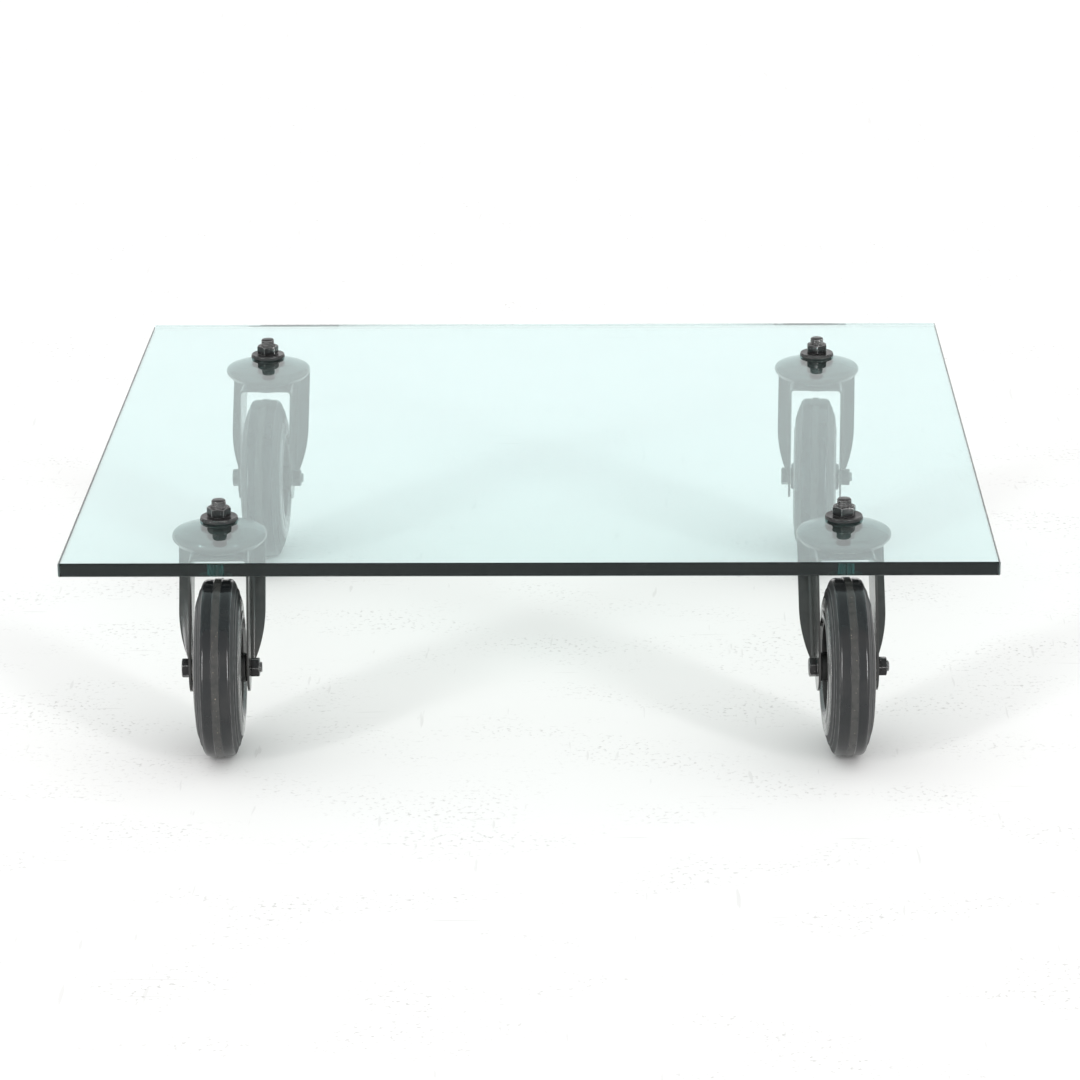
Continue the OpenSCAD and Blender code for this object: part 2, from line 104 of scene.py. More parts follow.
@dataclass(frozen=True)
class CasterPlace:
    """Where one caster stands at rest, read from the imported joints."""

    corner: Corner
    swivel: Vector
    axle: Vector
    turn: float

    @classmethod
    def read(cls, corner: Corner) -> "CasterPlace":
        """Reads the swivel and the axle of one caster.

        Args:
            corner: The corner whose joints are read.

        Returns:
            The caster's place.
        """
        joints = {joint["name"]: joint for joint in frame["joints"]}
        swivel = joints[f"{corner.value}_swivel"]["pos_m"]
        roll = joints[f"{corner.value}_roll"]
        turn = math.atan2(roll["axis"][1], roll["axis"][0])
        return cls(corner, Vector((swivel[0], swivel[1], 0)), Vector(roll["pos_m"]), turn)

    def stem(self) -> Matrix:
        """Returns the matrix from a frame on the swivel axis, Z up from the floor."""
        return Matrix.Translation(self.swivel) @ Matrix.Rotation(self.turn, 4, "Z")

    def spindle(self) -> Matrix:
        """Returns the matrix from a frame on the axle, with Z along the axle to the right."""
        turned = Matrix.Rotation(self.turn, 4, "Z") @ Matrix.Rotation(math.pi / 2, 4, "Y")
        return Matrix.Translation(self.axle) @ turned


# Modelling


def only(piece: bpy.types.Object) -> None:
    """Selects one piece alone and makes it active.

    Args:
        piece: The piece.
    """
    bpy.ops.object.select_all(action="DESELECT")
    piece.select_set(True)
    bpy.context.view_layer.objects.active = piece


@contextmanager
def edited(chosen: str = "SELECT") -> Iterator[None]:
    """Opens the active piece in edit mode, and goes back to object mode at the end.

    Args:
        chosen: "SELECT" to start with all of the piece selected, "DESELECT" with none.

    Yields:
        Nothing: the piece is in edit mode meanwhile.
    """
    bpy.ops.object.mode_set(mode="EDIT")
    bpy.ops.mesh.select_all(action=chosen)
    yield
    bpy.ops.object.mode_set(mode="OBJECT")


def smooth(piece: bpy.types.Object, angle: float) -> None:
    """Shades a piece smooth except at edges sharper than an angle in degrees."""
    only(piece)
    bpy.ops.object.shade_smooth_by_angle(angle=math.radians(angle))


def rounded(corners: Sequence[RoundedPoint], steps: int = 4) -> list[Point]:
    """Rounds the corners of a closed outline.

    Args:
        corners: Points of the outline, each with the radius of its corner, in mm.
        steps: Edges that make up each rounded corner.

    Returns:
        The points of the rounded outline, in mm.
    """
    outline: list[Point] = []
    for index, (x, y, radius) in enumerate(corners):
        here = Vector((x, y))
        back = Vector(corners[index - 1][:2]) - here
        ahead = Vector(corners[(index + 1) % len(corners)][:2]) - here
        shorter = min(back.length, ahead.length)
        if radius <= 0 or shorter < SAME_POINT:
            outline.append((x, y))
            continue
        half = back.angle(ahead) / 2
        reach = min(radius / math.tan(half), shorter * CORNER_SHARE)
        start = here + back.normalized() * reach
        end = here + ahead.normalized() * reach
        for step in range(steps + 1):
            t = step / steps
            point = start * (1 - t) ** 2 + here * 2 * t * (1 - t) + end * t**2
            outline.append((point.x, point.y))
    return outline


def both_faces(half: Sequence[RoundedPoint]) -> list[RoundedPoint]:
    """Returns a half outline followed by its mirror image in the wheel's middle plane."""
    return list(half) + [(r, -z, radius) for r, z, radius in reversed(half)]


def lathe(name: str, outline: Sequence[Point], steps: int = 96) -> bpy.types.Object:
    """Turns a closed outline about Z into a solid of revolution.

    Args:
        name: The piece's name.
        outline: Radius and height of each point, in mm, all clear of the axis.
        steps: Facets round the axis.

    Returns:
        The new piece, its normals outwards.
    """
    bpy.ops.object.select_all(action="DESELECT")
    bpy.ops.mesh.primitive_circle_add(vertices=len(outline))
    piece = bpy.context.object
    piece.name = piece.data.name = name
    for vertex, (radius, height) in zip(piece.data.vertices, outline):
        vertex.co = (radius * MM, 0, height * MM)
    with edited():
        bpy.ops.mesh.spin(steps=steps, angle=2 * math.pi, center=(0, 0, 0), axis=(0, 0, 1))
        bpy.ops.mesh.select_all(action="SELECT")
        bpy.ops.mesh.remove_doubles(threshold=SAME_POINT)
        bpy.ops.mesh.normals_make_consistent(inside=False)
    return piece


def threaded_end(
    name: str, radius: float, pitch: float, start: float, end: float, chamfer: float
) -> bpy.types.Object:
    """Makes a closed bar along Z that carries a real helical thread.

    Args:
        name: The piece's name.
        radius: Radius over the thread, in mm.
        pitch: Distance from one turn to the next, in mm.
        start: Height of the lower end, in mm.
        end: Height of the upper end, in mm.
        chamfer: Chamfer at the upper end, in mm.

    Returns:
        The new piece.
    """
    depth, rows = pitch * THREAD_DEPTH, round((end - start) / pitch * THREAD_ROWS)
    bpy.ops.object.select_all(action="DESELECT")
    bpy.ops.mesh.primitive_grid_add(
        x_subdivisions=THREAD_COLUMNS, y_subdivisions=rows, size=1
    )
    piece = bpy.context.object
    piece.name = piece.data.name = name
    for vertex in piece.data.vertices:
        share, height = vertex.co.x + 0.5, start + (vertex.co.y + 0.5) * (end - start)
        phase = (height / pitch - share) % 1.0
        cut = min(1.0, max(0.0, GROOVE_REACH - abs(2 * phase - 1) * GROOVE_SLOPE))
        reach = min(radius - depth * cut, radius - chamfer + (end - height))
        angle = share * 2 * math.pi
        vertex.co = (
            reach * math.cos(angle) * MM,
            reach * math.sin(angle) * MM,
            height * MM,
        )
    with edited():
        bpy.ops.mesh.remove_doubles(threshold=SAME_POINT)
    for height in (start, end):
        with edited("DESELECT"):
            bpy.ops.mesh.select_mode(type="VERT")
        for vertex in piece.data.vertices:
            vertex.select = abs(vertex.co.z - height * MM) < SAME_POINT
        bpy.ops.object.mode_set(mode="EDIT")
        bpy.ops.mesh.edge_face_add()
        bpy.ops.object.mode_set(mode="OBJECT")
    with edited():
        bpy.ops.mesh.normals_make_consistent(inside=False)
    smooth(piece, THREAD_SMOOTH)
    return piece


def from_solid(node: str, name: str, edge: float) -> bpy.types.Object:
    """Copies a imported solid, joins its triangles into faces and rounds its sharp edges.

    Args:
        node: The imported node.
        name: The new piece's name.
        edge: Radius of the rounded edges, in mm.

    Returns:
        The new piece.
    """
    piece = bpy.data.objects.new(name, frame["nodes"][node].data.copy())
    piece.data.name = name
    bpy.context.scene.collection.objects.link(piece)
    only(piece)
    bpy.ops.mesh.customdata_custom_splitnormals_clear()
    with edited():
        bpy.ops.mesh.remove_doubles(threshold=2 * SAME_POINT)
        bpy.ops.mesh.dissolve_limited(angle_limit=math.radians(FLAT_ANGLE))
        bpy.ops.mesh.normals_make_consistent(inside=False)
    round_edges(piece, edge)
    return piece


def round_edges(piece: bpy.types.Object, edge: float) -> None:
    """Rounds the sharp edges of a piece and applies the rounding.

    Args:
        piece: The piece.
        edge: Radius of the rounded edges, in mm.
    """
    only(piece)
    bevel = piece.modifiers.new("rounded edges", "BEVEL")
    bevel.width, bevel.segments = edge * MM, EDGE_STEPS
    bevel.limit_method, bevel.angle_limit = "ANGLE", math.radians(SHARP_ANGLE)
    bevel.miter_outer = "MITER_ARC"
    bpy.ops.object.modifier_apply(modifier=bevel.name)
    smooth(piece, SOLID_SMOOTH)


def cut_off(piece: bpy.types.Object, point: Vector, ahead: Vector) -> None:
    """Cuts off and caps what lies ahead of a plane.

    Args:
        piece: The piece to cut.
        point: A point of the plane.
        ahead: The plane's normal, towards what goes.
    """
    only(piece)
    with edited():
        bpy.ops.mesh.bisect(plane_co=point, plane_no=ahead, clear_outer=True, use_fill=True)


def joined(pieces: Sequence[bpy.types.Object], name: str) -> bpy.types.Object:
    """Joins pieces into one.

    Args:
        pieces: The pieces. The first takes in the rest.
        name: The name of the whole.

    Returns:
        The whole.
    """
    only(pieces[0])
    for piece in pieces[1:]:
        piece.select_set(True)
    bpy.ops.object.join()
    pieces[0].name = pieces[0].data.name = name
    return pieces[0]


def placed(master: bpy.types.Object, name: str, matrix: Matrix) -> bpy.types.Object:
    """Copies a master piece with a mesh of its own, moved to its place.

    Args:
        master: The piece as modelled, at the origin.
        name: The copy's name.
        matrix: From the master's frame to the table's.

    Returns:
        The copy, with its place in its mesh.
    """
    copy = bpy.data.objects.new(name, master.data.copy())
    copy.data.name = name
    copy.data.transform(matrix)
    bpy.context.scene.collection.objects.link(copy)
    return copy


# Shaders


@dataclass
class Wiring:
    """A node tree, with short ways to add nodes and feed their sockets."""

    tree: bpy.types.NodeTree

    def node(self, kind: str, **settings: object) -> bpy.types.Node:
        """Adds a node.

        Args:
            kind: Its type.
            **settings: Its properties.

        Returns:
            The node.
        """
        made = self.tree.nodes.new(kind)
        for key, value in settings.items():
            setattr(made, key, value)
        return made

    def feed(self, socket: bpy.types.NodeSocket, value: object) -> None:
        """Links an input, or sets its value.

        Args:
            socket: The input.
            value: The output to link, or a plain value.
        """
        if isinstance(value, bpy.types.NodeSocket):
            self.tree.links.new(value, socket)
        else:
            socket.default_value = value

    def math(self, operation: str, a: Feed, b: Feed = 0.0, clamp: bool = False) -> Feed:
        """Adds a Math node.

        Args:
            operation: What it does.
            a: Its first input.
            b: Its second input.
            clamp: Whether the result stays within 0 and 1.

        Returns:
            The result.
        """
        made = self.node("ShaderNodeMath", operation=operation, use_clamp=clamp)
        self.feed(made.inputs[0], a)
        self.feed(made.inputs[1], b)
        return made.outputs[0]

    def times(self, a: Feed, b: Feed, clamp: bool = False) -> Feed:
        """Returns a product."""
        return self.math("MULTIPLY", a, b, clamp)

    def size(self, value: Feed) -> Feed:
        """Returns a value without its sign."""
        return self.math("ABSOLUTE", value)

    def split(self, vector: bpy.types.NodeSocket) -> bpy.types.Node:
        """Adds a node that splits a vector into X, Y and Z.

        Args:
            vector: The vector.

        Returns:
            The node.
        """
        made = self.node("ShaderNodeSeparateXYZ")
        self.feed(made.inputs[0], vector)
        return made

    def remap(
        self, value: Feed, low: float, high: float, least: float = 0.0, most: float = 1.0
    ) -> Feed:
        """Maps a value smoothly from one range to another.

        Args:
            value: The value.
            low: The value that gives the least result.
            high: The value that gives the most.
            least: The result at the low end and past it.
            most: The result at the high end and past it.

        Returns:
            The result.
        """
        made = self.node("ShaderNodeMapRange", interpolation_type="SMOOTHSTEP")
        for socket, number in zip(made.inputs[:5], (value, low, high, least, most)):
            self.feed(socket, number)
        return made.outputs[0]

    def mix(self, share: Feed, a: object, b: object) -> bpy.types.NodeSocket:
        """Mixes two colours.

        Args:
            share: The share of the second.
            a: The first, a socket or three channels.
            b: The second, likewise.

        Returns:
            The mixed colour.
        """
        made = self.node("ShaderNodeMix", data_type="RGBA")
        self.feed(made.inputs[0], share)
        for socket, colour in ((made.inputs[6], a), (made.inputs[7], b)):
            self.feed(socket, colour if isinstance(colour, bpy.types.NodeSocket) else (*colour, 1))
        return made.outputs[2]

    def noise(
        self, place: Feed, scale: Feed, detail: float, stretch: Optional[Sequence[float]] = None
    ) -> Feed:
        """Adds fractal noise.

        Args:
            place: The coordinates that it reads.
            scale: Its scale.
            detail: Its octaves.
            stretch: What the coordinates are multiplied by along each axis, if anything.

        Returns:
            The noise, within 0 and 1.
        """
        if stretch is not None:
            mapping = self.node("ShaderNodeMapping")
            self.feed(mapping.inputs["Vector"], place)
            mapping.inputs["Scale"].default_value = stretch
            place = mapping.outputs[0]
        made = self.node("ShaderNodeTexNoise")
        self.feed(made.inputs["Vector"], place)
        self.feed(made.inputs["Scale"], scale)
        made.inputs["Detail"].default_value = detail
        return made.outputs["Fac"]

    def object_place(self) -> bpy.types.NodeSocket:
        """Returns the Object coordinates."""
        return self.node("ShaderNodeTexCoord").outputs["Object"]

    def group(self, tree: bpy.types.NodeTree, **values: Feed) -> bpy.types.Node:
        """Places a node group.

        Args:
            tree: The group's tree.
            **values: Its inputs by name, each space an underscore.

        Returns:
            The node.
        """
        made = self.node("ShaderNodeGroup", node_tree=tree)
        for name, value in values.items():
            self.feed(made.inputs[name.replace("_", " ")], value)
        return made


class Effects:
    """Node groups that several finishes share, each built once."""

    def __init__(self) -> None:
        """Builds the groups."""
        self.worn_edges = self._build(
            "worn_edges", {"Radius": 0.8 * MM, "Amount": 1.0, "Patch scale": 60.0},
            self._worn_edges,
        )
        self.fine_grain = self._build(
            "fine_grain", {"Scale": 900.0, "Patch scale": 25.0}, self._fine_grain
        )
        self.settled_dust = self._build(
            "settled_dust", {"Amount": 0.5, "Scale": 40.0}, self._settled_dust
        )
        self.scratches = self._build(
            "scratches", {"Scale": 30.0, "Amount": 0.5}, self._scratches
        )

    def _build(
        self, name: str, inputs: dict[str, float], wire: Callable[[Wiring, Sockets], Sockets]
    ) -> bpy.types.NodeTree:
        """Makes one group.

        Args:
            name: The group's name.
            inputs: Its float inputs with their defaults.
            wire: Wires the group and returns its outputs by name.

        Returns:
            The group's tree.
        """
        tree = bpy.data.node_groups.new(name, "ShaderNodeTree")
        for label, value in inputs.items():
            socket = tree.interface.new_socket(
                label, in_out="INPUT", socket_type="NodeSocketFloat"
            )
            socket.default_value = value
        wiring = Wiring(tree)
        given = wiring.node("NodeGroupInput")
        results = wire(wiring, {label: given.outputs[label] for label in inputs})
        for label in results:
            tree.interface.new_socket(label, in_out="OUTPUT", socket_type="NodeSocketFloat")
        end = wiring.node("NodeGroupOutput")
        for label, socket in results.items():
            wiring.feed(end.inputs[label], socket)
        return tree

    @staticmethod
    def _worn_edges(wiring: Wiring, given: Sockets) -> Sockets:
        """Masks what lies near an edge, broken up into patches.

        Args:
            wiring: The group's tree.
            given: Its inputs.

        Returns:
            The Mask.
        """
        flat, bent = 0.995, 0.955
        sound, worn, least_worn = 0.36, 0.58, 0.25
        bevel = wiring.node("ShaderNodeBevel", samples=6)
        wiring.feed(bevel.inputs["Radius"], given["Radius"])
        geometry = wiring.node("ShaderNodeNewGeometry")
        turn = wiring.node("ShaderNodeVectorMath", operation="DOT_PRODUCT")
        wiring.feed(turn.inputs[0], bevel.outputs[0])
        wiring.feed(turn.inputs[1], geometry.outputs["Normal"])
        near = wiring.remap(turn.outputs["Value"], flat, bent)
        patches = wiring.noise(wiring.object_place(), given["Patch scale"], 4.0)
        broken = wiring.remap(patches, sound, worn, least_worn)
        return {"Mask": wiring.times(wiring.times(near, broken), given["Amount"], True)}

    @staticmethod
    def _fine_grain(wiring: Wiring, given: Sockets) -> Sockets:
        """Gives a fine surface and a slow change of tone.

        Args:
            wiring: The group's tree.
            given: Its inputs.

        Returns:
            The Height and the Tone, both round 0.5.
        """
        place = wiring.object_place()
        return {
            "Height": wiring.noise(place, given["Scale"], 2.0),
            "Tone": wiring.noise(place, given["Patch scale"], 5.0),
        }

    @staticmethod
    def _settled_dust(wiring: Wiring, given: Sockets) -> Sockets:
        """Masks dust that has settled in patches on what faces up.

        Args:
            wiring: The group's tree.
            given: Its inputs.

        Returns:
            The Mask.
        """
        sloping, level = 0.2, 0.95
        clean, dusty = 0.38, 0.68
        geometry = wiring.node("ShaderNodeNewGeometry")
        rise = wiring.split(geometry.outputs["Normal"]).outputs["Z"]
        patches = wiring.noise(wiring.object_place(), given["Scale"], 6.0)
        facing = wiring.remap(rise, sloping, level)
        lying = wiring.times(facing, wiring.remap(patches, clean, dusty))
        return {"Mask": wiring.times(lying, given["Amount"], True)}

    @staticmethod
    def _scratches(wiring: Wiring, given: Sockets) -> Sockets:
        """Masks thin scratches that cross at two slants.

        Args:
            wiring: The group's tree.
            given: Its inputs.

        Returns:
            The Mask.
        """
        slants = ((1.0, 14.0, 5.0), (13.0, 1.3, 9.0))
        clear, cut = 0.70, 0.745
        place = wiring.object_place()
        lines: list[Feed] = []
        for stretch in slants:
            streaks = wiring.noise(place, given["Scale"], 2.0, stretch)
            lines.append(wiring.remap(streaks, clear, cut))
        both = wiring.math("MAXIMUM", *lines)
        return {"Mask": wiring.times(both, given["Amount"], True)}


@dataclass
class Coat:
    """A material in the making: its wiring, its shader and the shared effects."""

    wiring: Wiring
    shader: bpy.types.Node
    effects: Effects

    def set(self, **values: object) -> None:
        """Links or sets the shader's inputs by name, each space an underscore."""
        for name, value in values.items():
            self.wiring.feed(self.shader.inputs[name.replace("_", " ")], value)


@dataclass(frozen=True)
class Finish:
    """A finish, by its material's name and its slot. Each kind wires its own shader."""

    name: str
    slot: str

    def make(self, effects: Effects) -> bpy.types.Material:
        """Builds the material.

        Args:
            effects: The shared node groups.

        Returns:
            The material.
        """
        material = bpy.data.materials.new(self.name)
        material.use_nodes = True
        shader = material.node_tree.nodes["Principled BSDF"]
        self.wire(Coat(Wiring(material.node_tree), shader, effects))
        return material

    def wire(self, coat: Coat) -> None:
        """Wires the finish. Each kind of finish has its own."""
        raise NotImplementedError


@dataclass(frozen=True)
class GrainedFinish(Finish):
    """A finish with a fine raised grain, whose roughness changes with its tone."""

    roughness: float = 0.5
    rough_change: float = 0.1
    tones: Point = (0.3, 0.7)
    grain: float = 1400.0
    bump: float = 0.12

    def uneven(self, wiring: Wiring, grain: bpy.types.Node) -> Feed:
        """Returns the roughness, which changes with the tone of the grain."""
        least, most = self.roughness - self.rough_change, self.roughness + self.rough_change
        return wiring.remap(grain.outputs["Tone"], *self.tones, least, most)

    def raise_grain(self, coat: Coat, grain: bpy.types.Node) -> None:
        """Bumps the surface.

        Args:
            coat: The material.
            grain: The grain whose height is raised.
        """
        bump = coat.wiring.node("ShaderNodeBump")
        bump.inputs["Strength"].default_value = self.bump
        bump.inputs["Distance"].default_value = GRAIN_DEPTH
        coat.wiring.feed(bump.inputs["Height"], grain.outputs["Height"])
        coat.set(Normal=bump.outputs[0])


@dataclass(frozen=True)
class MetalFinish(GrainedFinish):
    """Metal, bare or coated, with grain, worn edges, scratches and settled dust."""

    base: Colour = (0.03, 0.03, 0.03)
    worn: Colour = (0.4, 0.38, 0.36)
    metallic: float = 0.0
    worn_metallic: float = 1.0
    specular: float = 0.5
    roughness: float = 0.4
    rough_change: float = 0.12
    tone_change: float = 0.35
    wear: float = 0.6
    wear_radius: float = 0.8 * MM
    wear_scale: float = 120.0
    scratch: float = 0.25
    scratch_scale: float = 55.0
    dust: float = 0.15
    dust_scale: float = 70.0
    dust_roughness: float = 0.35
    grain: float = 900.0
    bump: float = 0.08

    def wire(self, coat: Coat) -> None:
        """Wires colour, metal, roughness and bump.

        Args:
            coat: The material.
        """
        wiring, effects = coat.wiring, coat.effects
        grain = wiring.group(effects.fine_grain, Scale=self.grain)
        edges = wiring.group(
            effects.worn_edges, Radius=self.wear_radius, Amount=self.wear,
            Patch_scale=self.wear_scale,
        ).outputs["Mask"]
        marks = wiring.group(
            effects.scratches, Scale=self.scratch_scale, Amount=self.scratch
        ).outputs["Mask"]
        dust = wiring.group(
            effects.settled_dust, Scale=self.dust_scale, Amount=self.dust
        ).outputs["Mask"]
        bare = wiring.math("MAXIMUM", edges, marks)
        darker, lighter = (
            tuple(channel * (1 + change) for channel in self.base)
            for change in (-self.tone_change, self.tone_change)
        )
        tone = wiring.mix(grain.outputs["Tone"], darker, lighter)
        worn = wiring.mix(bare, tone, self.worn)
        metal: Feed = self.metallic
        if self.worn_metallic != self.metallic:
            metal = wiring.remap(bare, 0.0, 1.0, self.metallic, self.worn_metallic)
        dulled = wiring.times(dust, self.dust_roughness)
        coat.set(
            Base_Color=wiring.mix(dust, worn, DUST), Metallic=metal,
            Specular_IOR_Level=self.specular,
            Roughness=wiring.math("ADD", self.uneven(wiring, grain), dulled, True),
        )
        self.raise_grain(coat, grain)


@dataclass(frozen=True)
class RubberFinish(GrainedFinish):
    """Plain black rubber with a fine moulded grain and a bloom of dust."""

    base: Colour = (0.022, 0.021, 0.022)
    bloom: Colour = (0.06, 0.058, 0.056)
    bloom_tones: Point = (0.42, 0.72)
    patch_scale: float = 35.0
    ior: float = 1.5

    def wire(self, coat: Coat) -> None:
        """Wires colour, roughness and bump.

        Args:
            coat: The material.
        """
        wiring = coat.wiring
        grain = wiring.group(
            coat.effects.fine_grain, Scale=self.grain, Patch_scale=self.patch_scale
        )
        rough = self.polished(wiring, self.uneven(wiring, grain))
        coat.set(Base_Color=self.coloured(wiring, grain), Roughness=rough, IOR=self.ior)
        self.raise_grain(coat, grain)

    def coloured(self, wiring: Wiring, grain: bpy.types.Node) -> bpy.types.NodeSocket:
        """Returns the rubber's colour with its bloom."""
        bloom = wiring.remap(grain.outputs["Tone"], *self.bloom_tones)
        return wiring.mix(bloom, self.base, self.bloom)

    def polished(self, wiring: Wiring, rough: Feed) -> Feed:
        """Returns the roughness where use has changed it. Plain rubber keeps its own."""
        return rough


@dataclass(frozen=True)
class TyreFinish(RubberFinish):
    """Tyre rubber: a scuffed band, worn shoulders, highlights painted along ribs. Sizes in mm."""

    band: Colour = (0.042, 0.042, 0.040)
    crumb: Colour = (0.30, 0.26, 0.20)
    highlight_line: Colour = (0.13, 0.13, 0.13)
    band_half: float = 3.9
    band_fade: float = 0.2
    chafe_scale: float = 150.0
    chafe: Point = (0.25, 0.6)
    least_chafed: float = 0.55
    crumb_scale: float = 420.0
    crumbs: Point = (0.70, 0.76)
    tread_radius: Point = (94.0, 96.0)
    # Painted highlights: thin lighter lines round the tyre at these offsets from its middle, along
    # its shoulder corner and ribs.
    highlight_lines_at: tuple[float, ...] = (16.1, 19.4, 21.2)
    highlight_line_half: float = 0.35
    highlight_line_core: float = 0.4
    highlight_line_fade: Point = (0.3, 0.6)
    least_highlight_line: float = 0.3
    highlight_line_strength: float = 0.75
    flank_starts: Point = (14.5, 18.0)
    flank: float = 0.42

    def across(self, wiring: Wiring) -> bpy.types.Node:
        """Returns the place across the tyre: X from its middle, Y from its axle, in mm."""
        place = wiring.node("ShaderNodeAttribute", attribute_name="tyre_place")
        return wiring.split(place.outputs["Vector"])

    def polished(self, wiring: Wiring, rough: Feed) -> Feed:
        """Keeps the tread, which is rolled smooth, and makes the flanks matte.

        Args:
            wiring: The material's tree.
            rough: The plain rubber's roughness.

        Returns:
            The roughness across the tyre.
        """
        offset = wiring.size(self.across(wiring).outputs["X"])
        matte = wiring.remap(offset, *self.flank_starts, 0.0, self.flank)
        return wiring.math("ADD", rough, matte)

    def coloured(self, wiring: Wiring, grain: bpy.types.Node) -> bpy.types.NodeSocket:
        """Lays out the tyre's colour across its width.

        Args:
            wiring: The material's tree.
            grain: The rubber's grain.

        Returns:
            The colour.
        """
        parts, place = self.across(wiring), wiring.object_place()
        offset = wiring.size(parts.outputs["X"])
        on_tread = wiring.remap(parts.outputs["Y"], *self.tread_radius)
        chafed = wiring.noise(place, self.chafe_scale, 6.0)
        inside, outside = self.band_half - self.band_fade, self.band_half + self.band_fade
        on_band = wiring.times(
            wiring.remap(offset, outside, inside),
            wiring.remap(chafed, *self.chafe, self.least_chafed),
        )
        running = wiring.times(on_band, on_tread)
        rubber = wiring.mix(running, super().coloured(wiring, grain), self.band)
        specks = wiring.remap(wiring.noise(place, self.crumb_scale, 2.0), *self.crumbs)
        rubber = wiring.mix(wiring.times(specks, running), rubber, self.crumb)
        # Painted highlights: thin lighter lines at the shoulder corner and ribs, weaker where the
        # chafe noise is low.
        for at in self.highlight_lines_at:
            away = wiring.size(wiring.math("SUBTRACT", offset, at))
            core = self.highlight_line_half * self.highlight_line_core
            highlight_line = wiring.remap(away, self.highlight_line_half, core, 0.0, self.highlight_line_strength)
            worn = wiring.times(highlight_line, wiring.remap(chafed, *self.highlight_line_fade, self.least_highlight_line))
            rubber = wiring.mix(worn, rubber, self.highlight_line)
        return rubber


@dataclass(frozen=True)
class GlassFinish(Finish):
    """Clear float glass that is green in depth, with ground hole walls and arrises."""

    ior: float = 1.52
    depth_colour: Colour = (0.0, 0.58, 0.56)
    daylight: Colour = (1.10, 1.02, 1.01)
    mirrored: Colour = (0.78, 0.90, 0.89)
    density: float = 17.0
    ground: float = 0.85
    polished: float = 0.1
    straight_to_worked: Point = (0.9995, 0.99)
    wall_to_arris: Point = (0.1, 0.6)
    smear: float = 0.02
    smear_scale: float = 9.0
    smear_stretch: tuple[float, ...] = (1.0, 2.2, 1.0)
    smears: Point = (0.55, 0.75)

    def roughness(self, wiring: Wiring) -> Feed:
        """Grinds what faces along no axis: the hole walls, and the arrises less so.

        Args:
            wiring: The material's tree.

        Returns:
            The roughness, with faint smears on the level faces.
        """
        geometry = wiring.node("ShaderNodeNewGeometry")
        parts = wiring.split(geometry.outputs["True Normal"])
        x, y, upright = (wiring.size(part) for part in parts.outputs)
        straight = wiring.math("MAXIMUM", wiring.math("MAXIMUM", upright, x), y)
        worked = wiring.remap(straight, *self.straight_to_worked)
        grade = wiring.remap(upright, *self.wall_to_arris, self.ground, self.polished)
        place = wiring.object_place()
        streaks = wiring.noise(place, self.smear_scale, 6.0, self.smear_stretch)
        smears = wiring.times(wiring.remap(streaks, *self.smears), upright)
        smeared = wiring.times(smears, self.smear)
        return wiring.math("ADD", wiring.times(worked, grade), smeared)

    def wire(self, coat: Coat) -> None:
        """Wires the glass, its absorption and the light that it lets through.

        Args:
            coat: The material.
        """
        wiring = coat.wiring
        coat.set(
            Base_Color=(1, 1, 1, 1), IOR=self.ior, Specular_Tint=(*self.mirrored, 1),
            Transmission_Weight=1.0, Roughness=self.roughness(wiring),
        )
        absorb = wiring.node("ShaderNodeVolumeAbsorption")
        absorb.inputs["Color"].default_value = (*self.depth_colour, 1)
        absorb.inputs["Density"].default_value = self.density
        rays = wiring.node("ShaderNodeLightPath").outputs
        plain = wiring.math("MAXIMUM", rays["Is Shadow Ray"], rays["Is Diffuse Ray"])
        through = wiring.node("ShaderNodeBsdfTransparent")
        through.inputs[0].default_value = (*self.daylight, 1)
        both = wiring.node("ShaderNodeMixShader")
        shares = (plain, coat.shader.outputs[0], through.outputs[0])
        for socket, value in zip(both.inputs, shares):
            wiring.feed(socket, value)
        end = wiring.tree.nodes["Material Output"]
        wiring.feed(end.inputs["Surface"], both.outputs[0])
        wiring.feed(end.inputs["Volume"], absorb.outputs[0])


@dataclass(frozen=True)
class FloorFinish(Finish):
    """Pale painted floor with faint scuffs and specks."""

    base: Colour = (0.80, 0.797, 0.79)
    scuff: Colour = (0.50, 0.49, 0.48)
    lighter: float = 1.03
    cloud_scale: float = 1.1
    scuff_scale: float = 5.0
    scuff_stretch: tuple[float, ...] = (1.0, 2.0, 1.0)
    scuffs: Point = (0.44, 0.68)
    speck_scale: float = 170.0
    specks: Point = (0.55, 0.70)
    marks: float = 0.8
    scratch: float = 0.28
    scratch_scale: float = 7.0
    roughness: float = 0.55
    specular: float = 0.3

    def wire(self, coat: Coat) -> None:
        """Wires the floor's colour and roughness.

        Args:
            coat: The material.
        """
        wiring = coat.wiring
        place = wiring.object_place()
        clouds = wiring.noise(place, self.cloud_scale, 5.0)
        light = tuple(channel * self.lighter for channel in self.base)
        paint = wiring.mix(clouds, self.base, light)
        rubbed = wiring.noise(place, self.scuff_scale, 9.0, self.scuff_stretch)
        scuffs = wiring.remap(rubbed, *self.scuffs)
        specks = wiring.remap(wiring.noise(place, self.speck_scale, 6.0), *self.specks)
        marks = wiring.times(wiring.times(scuffs, specks), self.marks)
        lines = wiring.group(
            coat.effects.scratches, Scale=self.scratch_scale, Amount=self.scratch
        ).outputs["Mask"]
        both = wiring.math("MAXIMUM", marks, lines)
        coat.set(
            Base_Color=wiring.mix(both, paint, self.scuff), Roughness=self.roughness,
            Specular_IOR_Level=self.specular,
        )


